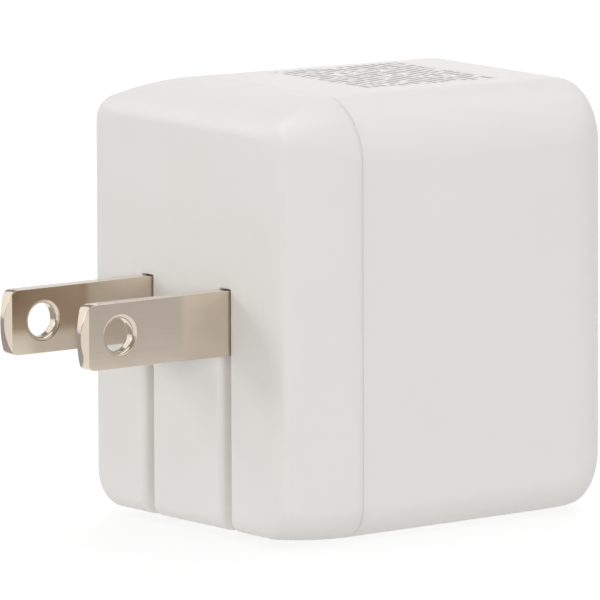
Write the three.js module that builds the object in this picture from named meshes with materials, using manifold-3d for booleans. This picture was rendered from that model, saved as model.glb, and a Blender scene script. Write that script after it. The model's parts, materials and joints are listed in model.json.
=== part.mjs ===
// USB wall charger with a two-blade folding mains plug.
// Millimetres, +Z up. The plug face is the plane y = 0 and the blades point along +Y.
// The origin is the centre point between the two blades on the plug face.
import * as THREE from 'three';
import { mergeVertices } from 'three/addons/utils/BufferGeometryUtils.js';
import Module from 'manifold-3d';

const wasm = await Module();
wasm.setup();

// ---- driving dimensions -------------------------------------------------------------
const BODY = { width: 31.6, top: 21.65, bottom: 21.25, depth: 40.8 };
const SEAM_DEPTH = 9.6;          // parting plane, measured back from the plug face
const SEAM_GAP = 0.3;
const WALL = 1.9;
const CORNER = { top: 6.0, bottom: 3.5 };          // section corners on the long sides
const PLUG_CORNER = { top: 1.9, bottom: 3.0 };     // the same corners at the plug face
const PORT_CORNER = 5.0;                           // and at the port face
const DOME = { side: 0.46, top: 1.95, bottom: 0.85, power: 1.8 };
const DRAFT = { side: 0.0087, top: 0.014, bottom: 0.0087 };  // inset per mm behind the seam
const PLUG_EDGE = { side: 2.4, sideDepth: 0.6, flat: 1.35 };
const PORT_EDGE = { side: 3.5, sideDepth: 5.0, flat: 2.3, flatDepth: 3.0 };
const PORT_CORNER_REACH = 8;
const ARC_STEPS = 6;

const BLADE = { pitch: 12.7, width: 6.35, thick: 1.5, length: 17.35 };
const BLADE_HOLE = { bore: 1.64, rim: 2.06, chamfer: 0.36, y: 13.0 };
const BLADE_TIP = { sagitta: 0.75, corner: 0.7, rise: 0.25, bevelLength: 0.75, bevelDepth: 0.42 };
const BLADE_X = [-BLADE.pitch / 2, BLADE.pitch / 2];
const PIVOT = { y: -2.95, z: 0.35, eye: 1.4, neck: 1.1, barrel: 1.6, barrelEnd: 11.0 };
const TAIL_RADIUS = 3.55;          // the blade's round inner end, about the pivot
const CAM = { halfLength: 2.2, halfWidth: 1.0, reach: 4.3, corner: 0.7, relief: 1.3 };
const GROOVE = { width: 1.74, depth: 6.75, top: 3.3, innerTop: 4.2, frontWall: 0.8 };
const POCKET = { wall: 1.1, back: 7.9, top: 5.3, floor: 1.6 };
const CLEAR = 0.3;                 // gap left between neighbouring pieces
const LIP = { inset: 1.15, before: 1.6, beyond: 1.7, rebate: 0.85 };
const THROUGH = 1;                 // how far a cutting tool runs past what it cuts

const SCREW = {
  x: 11.0, z: 5.6, shank: 0.7, head: 1.5, headHeight: 0.9, tip: -3.8, slot: { length: 1.8, width: 0.36 },
};
const BOSS = { radius: 2.0, front: -1.5, back: -9.1, bore: 1.0, boreEnd: -3.4 };
const RETAINER = {
  front: -9.4, back: -10.6, halfWidth: 12.9, low: -3.0, high: 8.4, corner: 1.5, hole: 1.1,
  saddle: { x: 9.8, halfWidth: 1.0, halfHeight: 1.5 },
};
const DETENT = {
  thick: 0.25, halfWidth: 1.9, offset: 0.65, touch: [1.6, -0.9], high: [8.0, 4.0], low: -2.8,
};
const CONTACT = {
  thick: 0.3, halfWidth: 0.75, tail: -11.6, top: 9.6, back: -8.5, bend: 0.4, low: 2.0,
  touch: [1.1, -0.4], foot: [-7.6, -1.1],
};
const LEAD_RADIUS = 0.6;

const MAIN_BOARD = {
  back: -12.6, face: -11.0, front: -12.0, rear: -37.0, halfHeight: 18.0, corner: 1.0,
};
const ON_BOARD = MAIN_BOARD.face + CLEAR;          // where parts standing on the board start
const PORT_BOARD = {
  face: -28.2, front: -27.2, left: -10.3, right: 11.6, halfHeight: 15.0, corner: 0.8,
};
const PORT_FACE = -BODY.depth;
const PORT_RECESS = 0.45;
const USB_C = {
  z: 6.6, width: 8.94, height: 3.16, corner: 1.57, steps: 5,
  tongue: { halfWidth: 3.35, low: -0.35, high: 0.35, end: -39.4 }, plugEnd: -33.4,
};
const USB_A = {
  z: -6.2, width: 13.1, height: 5.7, corner: 0.6, steps: 2,
  tongue: { halfWidth: 5.55, low: 0.2, high: 2.05, end: -39.3 }, plugEnd: -31.4,
};
const PORT_SHEET = 0.3;
const PORT_WINDOW = { cornerA: 0.8, depth: 4 };

const CHIP = { height: 1.5, legHeight: 0.8, legReach: 0.7, legHalf: 0.2, pitch: 1.27, overlap: 0.1 };
const CAN = { neck: 0.35, rim: 0.5, beadStart: 1.2, beadMiddle: 1.6, beadEnd: 2.0, sides: 24 };
const BULK = { radius: 3.95, top: 6.3, z: -12.6, y: { front: -14.4, rear: -22.8 } };
const OUTPUT = { radius: 3.15, end: -17.9, x: 7.6, z: { lower: -2.2, upper: 5.2 } };
const CHOKE = { y: -16.0, z: 13.7, inner: 2.1, outer: 4.2, from: -9.3, to: -6.5, sides: 24 };
const COIL = { wire: 0.22, turns: 9, sweep: 1.7 * Math.PI, stand: 1.15, steps: 90 };
const CORE = { y: [-25.5, -13], z: [-6, 8], x: [-6.8, -0.8], leg: 2.3, centreHalf: 1.75 };
const WINDING = { bulge: 1.9, corner: 2.2 };
const BASE = { plate: 1.3, rim: 2.4, rimWidth: 1.2 };
const FILM = { y: [-26.7, -23.2], z: [9.4, 17.3], end: -2.6, corner: 0.5 };
const FUSE = { x: -9.4, y: -21.9, z: [9.4, 16.3], cap: 0.95, tube: 0.8, capLength: 1.5 };
const DISC = { x: -6.9, y: -32.6, z: [8.9, 11.1], flat: 2.6, radius: 3.2, shoulder: 0.5 };
const SPREADER = { outer: 13.4, thick: 0.5, front: -12.9, rear: -36.5, foot: 9.6, halfHeight: 13.5 };
const SHEET = { x: [12.2, 12.5], y: [-36.4, -14], halfHeight: 15.5, corner: 1.2 };

// ---- finishes -----------------------------------------------------------------------
const finish = (color, roughness, metalness) =>
  new THREE.MeshStandardMaterial({ color, roughness, metalness });
const WHITE_SHELL = finish(0xeceae8, 0.45, 0);
const DARK_PLASTIC = finish(0x2a2a2c, 0.55, 0);
const PALE_PLASTIC = finish(0xd8d4c8, 0.5, 0);
const NICKEL = finish(0xb8aea0, 0.22, 1);
const SPRING_BRONZE = finish(0xb98a4e, 0.35, 1);
const STEEL = finish(0xb9bcc0, 0.3, 1);
const ALUMINIUM = finish(0xc3c6ca, 0.4, 1);
const BOARD_GREEN = finish(0x1f5a38, 0.5, 0);
const FERRITE = finish(0x3b3a3c, 0.7, 0);
const COPPER = finish(0xb06a35, 0.3, 1);
const TAPE_YELLOW = finish(0xd9b52f, 0.5, 0);
const CERAMIC_BLUE = finish(0x2f63a6, 0.5, 0);
const FILM_YELLOW = finish(0xcfae3a, 0.5, 0);
const CLEAR_SHEET = finish(0xdad7c8, 0.3, 0);
const WIRE_RED = finish(0xa8322c, 0.5, 0);
const WIRE_GREY = finish(0x55585c, 0.5, 0);

// ---- geometry helpers ---------------------------------------------------------------
const X_AXIS = new THREE.Vector3(1, 0, 0);
const Y_AXIS = new THREE.Vector3(0, 1, 0);
const Z_AXIS = new THREE.Vector3(0, 0, 1);

const group = new THREE.Group();

function welded(geometry) {
  const bare = geometry.index ? geometry.clone() : geometry;
  bare.deleteAttribute('normal');
  bare.deleteAttribute('uv');
  return mergeVertices(bare, 1e-5);
}

function solid(geometry) {
  const merged = welded(geometry);
  return new wasm.Manifold(new wasm.Mesh({
    numProp: 3,
    vertProperties: new Float32Array(merged.attributes.position.array),
    triVerts: new Uint32Array(merged.index.array),
  }));
}

function geometryOf(body) {
  const mesh = body.getMesh();
  const geometry = new THREE.BufferGeometry();
  geometry.setAttribute('position', new THREE.BufferAttribute(mesh.vertProperties, 3));
  geometry.setIndex(new THREE.BufferAttribute(mesh.triVerts, 1));
  geometry.computeVertexNormals();
  return geometry;
}

function addPiece(name, geometry, material) {
  const mesh = new THREE.Mesh(geometry, material);
  mesh.name = name;
  group.add(mesh);
}

function joined(parts) {
  return parts.map(solid).reduce((sum, part) => sum.add(part));
}

function cut(body, tools) {
  return tools.map(solid).reduce((left, tool) => left.subtract(tool), body);
}

function box(x, y, z) {
  const size = [x, y, z].map(([low, high]) => high - low);
  const middle = [x, y, z].map(([low, high]) => (low + high) / 2);
  return new THREE.BoxGeometry(...size).translate(...middle);
}

// A flat outline pushed straight out of its own plane.
function pushed(shape, depth, curveSegments) {
  return new THREE.ExtrudeGeometry(shape, { depth, bevelEnabled: false, curveSegments });
}

// The same along X (outline in Y, Z), along Y (outline in X, Z) or along Z (outline in X, Y).
function alongX(shape, from, to, steps = 12) {
  const turn = new THREE.Matrix4().makeBasis(Y_AXIS, Z_AXIS, X_AXIS);
  return pushed(shape, to - from, steps).applyMatrix4(turn).translate(from, 0, 0);
}

function alongY(shape, from, to, steps = 6) {
  const turn = new THREE.Matrix4().makeBasis(X_AXIS, Z_AXIS, Y_AXIS.clone().negate());
  return pushed(shape, to - from, steps).applyMatrix4(turn).translate(0, to, 0);
}

function alongZ(shape, from, to, steps = 6) {
  return pushed(shape, to - from, steps).translate(0, 0, from);
}

// Stands a part made along Y up on another axis; centre holds the two other coordinates.
function placed(part, axis, centre) {
  if (axis === 'x') {
    return part.rotateZ(-Math.PI / 2).translate(0, centre[0], centre[1]);
  }
  if (axis === 'z') {
    return part.rotateX(Math.PI / 2).translate(centre[0], centre[1], 0);
  }
  return part.translate(centre[0], 0, centre[1]);
}

// A round bar along one axis between two stations.
function rod(axis, centre, radius, from, to, sides = 20) {
  const bar = new THREE.CylinderGeometry(radius, radius, to - from, sides);
  return placed(bar.translate(0, (from + to) / 2, 0), axis, centre);
}

// A turned part: profile points are [radius, station] with stations along the axis.
function turned(axis, centre, profile, sides = 20) {
  const points = profile.map(([radius, station]) => new THREE.Vector2(radius, station));
  return placed(new THREE.LatheGeometry(points, sides), axis, centre);
}

function roundedRect(low, high, radius) {
  const [x0, y0] = low;
  const [x1, y1] = high;
  const shape = new THREE.Shape();
  shape.absarc(x1 - radius, y1 - radius, radius, 0, Math.PI / 2);
  shape.absarc(x0 + radius, y1 - radius, radius, Math.PI / 2, Math.PI);
  shape.absarc(x0 + radius, y0 + radius, radius, Math.PI, 1.5 * Math.PI);
  shape.absarc(x1 - radius, y0 + radius, radius, 1.5 * Math.PI, 2 * Math.PI);
  shape.closePath();
  return shape;
}

function outline(points) {
  return new THREE.Shape(points.map(([u, v]) => new THREE.Vector2(u, v)));
}

// A strip of even thickness bent through the given [y, z] points, as a closed outline.
function bentStrip(points, thickness) {
  const line = points.map(([y, z]) => new THREE.Vector2(y, z));
  const offset = line.map((point, i) => {
    const before = line[Math.max(i - 1, 0)];
    const after = line[Math.min(i + 1, line.length - 1)];
    const along = after.clone().sub(before).normalize();
    return new THREE.Vector2(point.x + along.y * thickness, point.y - along.x * thickness);
  });
  return new THREE.Shape([...line, ...offset.reverse()]);
}

// ---- the case -----------------------------------------------------------------------
// How far a quarter-ellipse edge draws in at a distance from the end face.
function edgeInset(distance, inset, reach) {
  const u = THREE.MathUtils.clamp(1 - distance / reach, 0, 1);
  return inset * (1 - Math.sqrt(1 - u * u));
}

// The case's cross-section at a depth behind the plug face, drawn in by `inset` all round.
function caseSection(depth, inset) {
  const forward = Math.max(0, 1 - depth / SEAM_DEPTH);
  const behind = Math.max(0, depth - SEAM_DEPTH);
  const toPort = BODY.depth - depth;
  const dome = forward ** DOME.power;
  const flatEdges = edgeInset(depth, PLUG_EDGE.flat, PLUG_EDGE.flat)
    + edgeInset(toPort, PORT_EDGE.flat, PORT_EDGE.flatDepth);
  const sideEdges = edgeInset(depth, PLUG_EDGE.side, PLUG_EDGE.sideDepth)
    + edgeInset(toPort, PORT_EDGE.side, PORT_EDGE.sideDepth);
  const nearPort = THREE.MathUtils.clamp(1 - toPort / PORT_CORNER_REACH, 0, 1) ** 2;
  const corner = (middle, plug) => Math.max(
    0.4,
    middle + (plug - middle) * forward + (PORT_CORNER - middle) * nearPort - inset,
  );
  return {
    half: BODY.width / 2 - DOME.side * dome - sideEdges - DRAFT.side * behind - inset,
    top: BODY.top - DOME.top * dome - flatEdges - DRAFT.top * behind - inset,
    bottom: BODY.bottom - DOME.bottom * dome - flatEdges - DRAFT.bottom * behind - inset,
    topCorner: corner(CORNER.top, PLUG_CORNER.top),
    bottomCorner: corner(CORNER.bottom, PLUG_CORNER.bottom),
  };
}

// The section's outline as [x, z] points, anticlockwise seen from the port side.
function sectionPoints(section) {
  const { half, top, bottom, topCorner, bottomCorner } = section;
  const corners = [
    [half - bottomCorner, bottomCorner - bottom, bottomCorner, -0.5],
    [half - topCorner, top - topCorner, topCorner, 0],
    [topCorner - half, top - topCorner, topCorner, 0.5],
    [bottomCorner - half, bottomCorner - bottom, bottomCorner, 1],
  ];
  const points = [];
  for (const [x, z, radius, start] of corners) {
    for (let i = 0; i <= ARC_STEPS; i += 1) {
      const angle = (start + 0.5 * i / ARC_STEPS) * Math.PI;
      points.push([x + radius * Math.cos(angle), z + radius * Math.sin(angle)]);
    }
  }
  return points;
}

// A closed body through the case sections at the given depths.
function caseLoft(depths, insetAt) {
  const rings = depths.map((depth) => sectionPoints(caseSection(depth, insetAt(depth))));
  const count = rings[0].length;
  const positions = [];
  rings.forEach((ring, i) => ring.forEach(([x, z]) => positions.push(x, -depths[i], z)));
  const index = [];
  for (let i = 0; i < rings.length - 1; i += 1) {
    for (let j = 0; j < count; j += 1) {
      const a = i * count + j;
      const b = i * count + (j + 1) % count;
      index.push(a, b, b + count, a, b + count, a + count);
    }
  }
  const flat = rings[0].map(([x, z]) => new THREE.Vector2(x, z));
  for (const [a, b, c] of THREE.ShapeUtils.triangulateShape(flat, [])) {
    index.push(c, b, a);
  }
  const last = (rings.length - 1) * count;
  const lastFlat = rings.at(-1).map(([x, z]) => new THREE.Vector2(x, z));
  for (const [a, b, c] of THREE.ShapeUtils.triangulateShape(lastFlat, [])) {
    index.push(last + a, last + b, last + c);
  }
  const geometry = new THREE.BufferGeometry();
  geometry.setAttribute('position', new THREE.Float32BufferAttribute(positions, 3));
  geometry.setIndex(index);
  return geometry;
}

const even = (inset) => () => inset;

function bladePocket(x) {
  const reach = GROOVE.width / 2 + POCKET.wall;
  return box([x - reach, x + reach], [-POCKET.back, -1], [POCKET.floor - BODY.bottom, POCKET.top]);
}

// The slot a blade stands in and folds down into, open through the bottom edge.
function bladeGroove(x) {
  const across = [x - GROOVE.width / 2, x + GROOVE.width / 2];
  return [
    box(across, [-GROOVE.depth, THROUGH], [-BODY.bottom - 2 * THROUGH, GROOVE.top]),
    box(across, [-GROOVE.depth, -GROOVE.frontWall], [0, GROOVE.innerTop]),
  ];
}

// Room for the carrier's barrel and cam, open towards the back for assembly.
function carrierSeat() {
  const seat = PIVOT.barrel + CLEAR;
  const end = PIVOT.barrelEnd + CLEAR;
  const camEnd = CAM.halfLength + CLEAR;
  return [
    rod('x', [PIVOT.y, PIVOT.z], seat, -end, end),
    box([-end, end], [-POCKET.back - THROUGH, PIVOT.y], [PIVOT.z - seat, PIVOT.z + seat]),
    box(
      [-camEnd, camEnd],
      [-WALL - THROUGH, -CAM.relief],
      [PIVOT.z - seat, PIVOT.z + CAM.reach + THROUGH],
    ),
  ];
}

// The thin wall that stands past the seam and locates the rear cover.
function seamLip() {
  const start = SEAM_DEPTH - LIP.before;
  const end = SEAM_DEPTH + LIP.beyond;
  const outer = solid(caseLoft([start, end], even(LIP.inset)));
  return outer.subtract(solid(caseLoft([start - THROUGH, end + THROUGH], even(WALL))));
}

function frontHousing() {
  const end = SEAM_DEPTH - SEAM_GAP / 2;
  const outside = caseLoft([0, 0.08, 0.25, 0.6, 1.0, 1.35, 3.2, 5.2, 7.4, end], even(0));
  const hollow = caseLoft([WALL, 4.5, 7, SEAM_DEPTH + LIP.beyond + THROUGH], even(WALL));
  const bosses = [-1, 1].map((side) => (
    rod('y', [side * SCREW.x, SCREW.z], BOSS.radius, BOSS.back, BOSS.front)
  ));
  const screwHoles = [-1, 1].map((side) => (
    rod('y', [side * SCREW.x, SCREW.z], BOSS.bore, BOSS.back - THROUGH, BOSS.boreEnd, 12)
  ));
  const shell = cut(solid(outside), [hollow]).add(seamLip());
  const inside = [...BLADE_X.map(bladePocket), ...bosses].map(solid);
  const body = inside.reduce((sum, part) => sum.add(part), shell);
  return cut(body, [...BLADE_X.flatMap(bladeGroove), ...carrierSeat(), ...screwHoles]);
}

// A hole through the port face that follows a socket's outline.
function portWindow(port, corner, steps) {
  const halfWidth = port.width / 2 + CLEAR;
  const halfHeight = port.height / 2 + CLEAR;
  const shape = roundedRect([-halfWidth, port.z - halfHeight], [halfWidth, port.z + halfHeight], corner);
  return alongY(shape, PORT_FACE - THROUGH, PORT_FACE + PORT_WINDOW.depth, steps);
}

function rearCover() {
  const start = SEAM_DEPTH + SEAM_GAP / 2;
  const outside = caseLoft(
    [start, 20, 33, 35.8, 37, 38, 38.8, 39.5, 40.1, 40.5, 40.72, BODY.depth],
    even(0),
  );
  const hollow = caseLoft([start - THROUGH, 20, 35.8, 37.4, BODY.depth - WALL], even(WALL));
  const rebate = caseLoft([start - THROUGH, SEAM_DEPTH + LIP.beyond + CLEAR], even(LIP.rebate));
  return cut(solid(outside), [
    hollow,
    rebate,
    portWindow(USB_C, USB_C.corner + CLEAR, 6),
    portWindow(USB_A, PORT_WINDOW.cornerA, 3),
  ]);
}

// ---- the folding plug ---------------------------------------------------------------
function bladeOutline() {
  const half = BLADE.width / 2;
  const shoulder = BLADE.length - BLADE_TIP.sagitta;
  const corner = { y: shoulder + BLADE_TIP.rise, z: half - BLADE_TIP.corner };
  const crown = 2 * BLADE.length - corner.y;       // puts the tip's middle at the full length
  const above = Math.PI - Math.asin((half - PIVOT.z) / TAIL_RADIUS);
  const below = Math.PI + Math.asin((half + PIVOT.z) / TAIL_RADIUS);
  const shape = new THREE.Shape();
  shape.moveTo(shoulder - BLADE_TIP.corner, half);
  shape.absarc(PIVOT.y, PIVOT.z, TAIL_RADIUS, above, below);
  shape.lineTo(shoulder - BLADE_TIP.corner, -half);
  shape.quadraticCurveTo(shoulder, -half, corner.y, -corner.z);
  shape.quadraticCurveTo(crown, 0, corner.y, corner.z);
  shape.quadraticCurveTo(shoulder, half, shoulder - BLADE_TIP.corner, half);
  const eye = new THREE.Path();
  eye.absarc(PIVOT.y, PIVOT.z, PIVOT.eye, 0, 2 * Math.PI, true);
  shape.holes.push(eye);
  return shape;
}

// The hole an outlet's detent drops into, chamfered on both faces of the blade.
function bladeHole(x) {
  const { bore, rim, chamfer, y } = BLADE_HOLE;
  const half = BLADE.thick / 2;
  const mouth = 2 * rim - bore;                    // the chamfer's cone carried past the face
  return turned('x', [y, 0], [
    [0, x - half - chamfer],
    [mouth, x - half - chamfer],
    [bore, x - half + chamfer],
    [bore, x + half - chamfer],
    [mouth, x + half + chamfer],
    [0, x + half + chamfer],
  ], 32);
}

function blade(x) {
  const half = BLADE.thick / 2;
  const start = BLADE.length - BLADE_TIP.bevelLength;
  const end = BLADE.length + THROUGH;
  const depthAtEnd = BLADE_TIP.bevelDepth * (end - start) / BLADE_TIP.bevelLength;
  const bevels = [-1, 1].map((side) => alongZ(outline([
    [x + side * half, start],
    [x + side * (half + THROUGH), start],
    [x + side * (half + THROUGH), end],
    [x + side * (half - depthAtEnd), end],
  ]), -BLADE.width, BLADE.width));
  return cut(solid(alongX(bladeOutline(), x - half, x + half)), [...bevels, bladeHole(x)]);
}

function bladeCarrier() {
  const neckHalf = BLADE.thick / 2 + CLEAR;
  const profile = [[0, -PIVOT.barrelEnd], [PIVOT.barrel, -PIVOT.barrelEnd]];
  for (const x of BLADE_X) {
    profile.push([PIVOT.barrel, x - neckHalf], [PIVOT.neck, x - neckHalf]);
    profile.push([PIVOT.neck, x + neckHalf], [PIVOT.barrel, x + neckHalf]);
  }
  profile.push([PIVOT.barrel, PIVOT.barrelEnd], [0, PIVOT.barrelEnd]);
  const cam = roundedRect(
    [PIVOT.y - CAM.reach, PIVOT.z - CAM.halfWidth],
    [PIVOT.y, PIVOT.z + CAM.halfWidth],
    CAM.corner,
  );
  return joined([
    turned('x', [PIVOT.y, PIVOT.z], profile),
    alongX(cam, -CAM.halfLength, CAM.halfLength, 4),
  ]);
}

function pivotRetainer() {
  const { front, back, halfWidth, low, high, corner, hole, saddle } = RETAINER;
  const plate = roundedRect([-halfWidth, low], [halfWidth, high], corner);
  const saddles = [-saddle.x, saddle.x].map((x) => box(
    [x - saddle.halfWidth, x + saddle.halfWidth],
    [front - THROUGH / 2, PIVOT.y - PIVOT.barrel - CLEAR],
    [PIVOT.z - saddle.halfHeight, PIVOT.z + saddle.halfHeight],
  ));
  const holes = [-1, 1].map((side) => (
    rod('y', [side * SCREW.x, SCREW.z], hole, back - THROUGH, front + THROUGH, 12)
  ));
  return cut(joined([alongY(plate, back, front, 4), ...saddles]), holes);
}

function retainerScrew(side) {
  const x = side * SCREW.x;
  const seat = RETAINER.back - CLEAR;
  const top = seat - SCREW.headHeight;
  const screw = turned('y', [x, SCREW.z], [
    [0, top],
    [SCREW.head - 0.3, top],
    [SCREW.head, top + 0.4],
    [SCREW.head, seat],
    [SCREW.shank, seat],
    [SCREW.shank, SCREW.tip - SCREW.shank],
    [0, SCREW.tip],
  ], 14);
  const half = { length: SCREW.slot.length / 2, width: SCREW.slot.width / 2 };
  const cross = [[half.length, half.width], [half.width, half.length]].map(([across, up]) => box(
    [x - across, x + across],
    [top - THROUGH, top + 0.4],
    [SCREW.z - up, SCREW.z + up],
  ));
  return cut(solid(screw), cross);
}

// The leaf that the carrier's cam clicks against.
function detentSpring() {
  const back = RETAINER.front + DETENT.offset;
  const touch = PIVOT.y - Math.hypot(CAM.reach, CAM.halfWidth) - CLEAR;
  const strip = bentStrip([
    [back, DETENT.high[0]],
    [back, DETENT.high[1]],
    [touch, DETENT.touch[0]],
    [touch, DETENT.touch[1]],
    [back, DETENT.low],
  ], -DETENT.thick);
  return alongX(strip, -DETENT.halfWidth, DETENT.halfWidth);
}

// The leaf that carries current from a blade's round inner end.
function contactSpring(x) {
  const touch = PIVOT.y - TAIL_RADIUS - CLEAR;
  const strip = bentStrip([
    [CONTACT.tail, CONTACT.top],
    [CONTACT.back - CONTACT.bend, CONTACT.top],
    [CONTACT.back, CONTACT.top - CONTACT.bend],
    [CONTACT.back, CONTACT.low],
    [touch, CONTACT.touch[0]],
    [touch, CONTACT.touch[1]],
    CONTACT.foot,
  ], -CONTACT.thick);
  return alongX(strip, x - CONTACT.halfWidth, x + CONTACT.halfWidth);
}

// From each contact spring's tail to the main board's face.
const LEADS = {
  left: [
    [-6.35, -12.15, 9.2],
    [-6.8, -12.1, 6.4],
    [-7.9, -11.95, 3.6],
    [-10.4, -12.2, 2.4],
  ],
  right: [
    [6.35, -12.15, 9.3],
    [5.6, -13.6, 11.6],
    [2.4, -17.4, 16.6],
    [-4.0, -21.2, 18.2],
    [-10.4, -21.6, 17.6],
  ],
};

function wire(path, radius, steps, curveSegments) {
  const section = new THREE.Shape();
  section.absarc(0, 0, radius, 0, 2 * Math.PI);
  return new THREE.ExtrudeGeometry(section, {
    steps,
    extrudePath: path,
    curveSegments,
    bevelEnabled: false,
  });
}

function leadWire(points) {
  const path = new THREE.CatmullRomCurve3(points.map((point) => new THREE.Vector3(...point)));
  return wire(path, LEAD_RADIUS, 14, 4);
}

// ---- boards and the converter -------------------------------------------------------
function mainBoard() {
  const { back, face, front, rear, halfHeight, corner } = MAIN_BOARD;
  return alongX(roundedRect([rear, -halfHeight], [front, halfHeight], corner), back, face, 3);
}

function portBoard() {
  const { face, front, left, right, halfHeight, corner } = PORT_BOARD;
  return alongY(roundedRect([left, -halfHeight], [right, halfHeight], corner), face, front, 3);
}

// A moulded package with a row of legs on each long side, flat on the main board.
function chipPackage(y, z) {
  const parts = [box([ON_BOARD, ON_BOARD + CHIP.height], y, z)];
  const up = [ON_BOARD, ON_BOARD + CHIP.legHeight];
  const middle = (y[0] + y[1]) / 2;
  for (const step of [-1.5, -0.5, 0.5, 1.5]) {
    const at = middle + step * CHIP.pitch;
    const along = [at - CHIP.legHalf, at + CHIP.legHalf];
    parts.push(box(up, along, [z[0] - CHIP.legReach, z[0] + CHIP.overlap]));
    parts.push(box(up, along, [z[1] - CHIP.overlap, z[1] + CHIP.legReach]));
  }
  return joined(parts);
}

// A capacitor can with its crimped bead near the end it stands on.
function canCapacitor(axis, centre, radius, from, to) {
  const neck = radius - CAN.neck;
  const sign = Math.sign(to - from);
  const profile = [
    [0, from],
    [neck, from],
    [radius, from + sign * CAN.rim],
    [radius, from + sign * CAN.beadStart],
    [neck, from + sign * CAN.beadMiddle],
    [radius, from + sign * CAN.beadEnd],
    [radius, to - sign * CAN.rim],
    [radius - CAN.rim, to],
    [0, to],
  ];
  return turned(axis, centre, sign > 0 ? profile : profile.reverse(), CAN.sides);
}

function chokeCore() {
  const { y, z, inner, outer, from, to, sides } = CHOKE;
  const profile = [[inner, from], [outer, from], [outer, to], [inner, to], [inner, from]];
  return turned('x', [y, z], profile, sides);
}

// A wire wound round the ring core, leaving a gap between its two ends.
class CoilPath extends THREE.Curve {
  getPoint(t, target = new THREE.Vector3()) {
    const around = COIL.sweep * (t - 0.5);
    const twist = 2 * Math.PI * COIL.turns * t;
    const half = { radial: (CHOKE.outer - CHOKE.inner) / 2, axial: (CHOKE.to - CHOKE.from) / 2 };
    const out = (half.radial + 2 * CLEAR) * COIL.stand * Math.cos(twist);
    const side = (half.axial + 2 * CLEAR) * COIL.stand * Math.sin(twist);
    const radius = (CHOKE.inner + CHOKE.outer) / 2 + out;
    return target.set(
      (CHOKE.from + CHOKE.to) / 2 + side,
      CHOKE.y + radius * Math.cos(around),
      CHOKE.z + radius * Math.sin(around),
    );
  }
}

function chokeWinding() {
  return wire(new CoilPath(), COIL.wire, COIL.steps, 3);
}

const CORE_MIDDLE_Z = (CORE.z[0] + CORE.z[1]) / 2;

function transformerCore() {
  const windows = [
    [CORE.z[0] + CORE.leg, CORE_MIDDLE_Z - CORE.centreHalf],
    [CORE_MIDDLE_Z + CORE.centreHalf, CORE.z[1] - CORE.leg],
  ].map((z) => box(
    [CORE.x[0] - THROUGH, CORE.x[1] + THROUGH],
    [CORE.y[0] + CORE.leg, CORE.y[1] - CORE.leg],
    z,
  ));
  return cut(solid(box(CORE.x, CORE.y, CORE.z)), windows);
}

function transformerWinding() {
  const start = CORE.y[0] + CORE.leg + CLEAR;
  const end = CORE.y[1] - CORE.leg - CLEAR;
  const outer = roundedRect(
    [CORE.x[0] - WINDING.bulge, CORE.z[0] + CORE.leg + CLEAR],
    [CORE.x[1] + WINDING.bulge, CORE.z[1] - CORE.leg - CLEAR],
    WINDING.corner,
  );
  const halfBore = CORE.centreHalf + CLEAR;
  const centre = box(
    [CORE.x[0] - CLEAR, CORE.x[1] + CLEAR],
    [start - THROUGH, end + THROUGH],
    [CORE_MIDDLE_Z - halfBore, CORE_MIDDLE_Z + halfBore],
  );
  return cut(solid(alongY(outer, start, end, 5)), [centre]);
}

function transformerBase() {
  const plate = box([ON_BOARD, ON_BOARD + BASE.plate], CORE.y, CORE.z);
  const rims = [CORE.z[0], CORE.z[1] - BASE.rimWidth].map((z) => (
    box([ON_BOARD, ON_BOARD + BASE.rim], CORE.y, [z, z + BASE.rimWidth])
  ));
  return joined([plate, ...rims]);
}

function filmCapacitor() {
  const shape = roundedRect([FILM.y[0], FILM.z[0]], [FILM.y[1], FILM.z[1]], FILM.corner);
  return alongX(shape, ON_BOARD, FILM.end, 3);
}

function fuse() {
  const { x, y, z, cap, tube, capLength } = FUSE;
  return turned('z', [x, y], [
    [0, z[0]],
    [cap, z[0]],
    [cap, z[0] + capLength],
    [tube, z[0] + capLength],
    [tube, z[1] - capLength],
    [cap, z[1] - capLength],
    [cap, z[1]],
    [0, z[1]],
  ], 14);
}

function safetyCapacitor() {
  const { x, y, z, flat, radius, shoulder } = DISC;
  return turned('z', [x, y], [
    [0, z[0]],
    [flat, z[0]],
    [radius, z[0] + shoulder],
    [radius, z[1] - shoulder],
    [flat, z[1]],
    [0, z[1]],
  ]);
}

function heatSpreader() {
  const { outer, thick, front, rear, foot, halfHeight } = SPREADER;
  return alongZ(outline([
    [outer - thick, rear],
    [outer, rear],
    [outer, front],
    [foot, front],
    [foot, front - thick],
    [outer - thick, front - thick],
  ]), -halfHeight, halfHeight);
}

function insulationSheet() {
  const { x, y, halfHeight, corner } = SHEET;
  return alongX(roundedRect([y[0], -halfHeight], [y[1], halfHeight], corner), x[0], x[1], 3);
}

// ---- outlets ------------------------------------------------------------------------
function portShell(port) {
  const front = PORT_FACE + PORT_RECESS;
  const back = PORT_BOARD.face - CLEAR;
  const tube = (grow, from, to) => alongY(roundedRect(
    [grow - port.width / 2, port.z - port.height / 2 + grow],
    [port.width / 2 - grow, port.z + port.height / 2 - grow],
    port.corner - grow,
  ), from, to, port.steps);
  return cut(solid(tube(0, front, back)), [tube(PORT_SHEET, front - THROUGH, back + THROUGH)]);
}

// The moulded block at the back of a socket with the contact tongue standing out of it.
function portTongue(port, corner) {
  const halfWidth = port.width / 2 - PORT_SHEET - CLEAR;
  const halfHeight = port.height / 2 - PORT_SHEET - CLEAR;
  const block = roundedRect([-halfWidth, port.z - halfHeight], [halfWidth, port.z + halfHeight], corner);
  const { tongue, plugEnd } = port;
  return joined([
    alongY(block, plugEnd, PORT_BOARD.face - CLEAR, 4),
    box(
      [-tongue.halfWidth, tongue.halfWidth],
      [tongue.end, plugEnd + THROUGH / 2],
      [port.z + tongue.low, port.z + tongue.high],
    ),
  ]);
}

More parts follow.
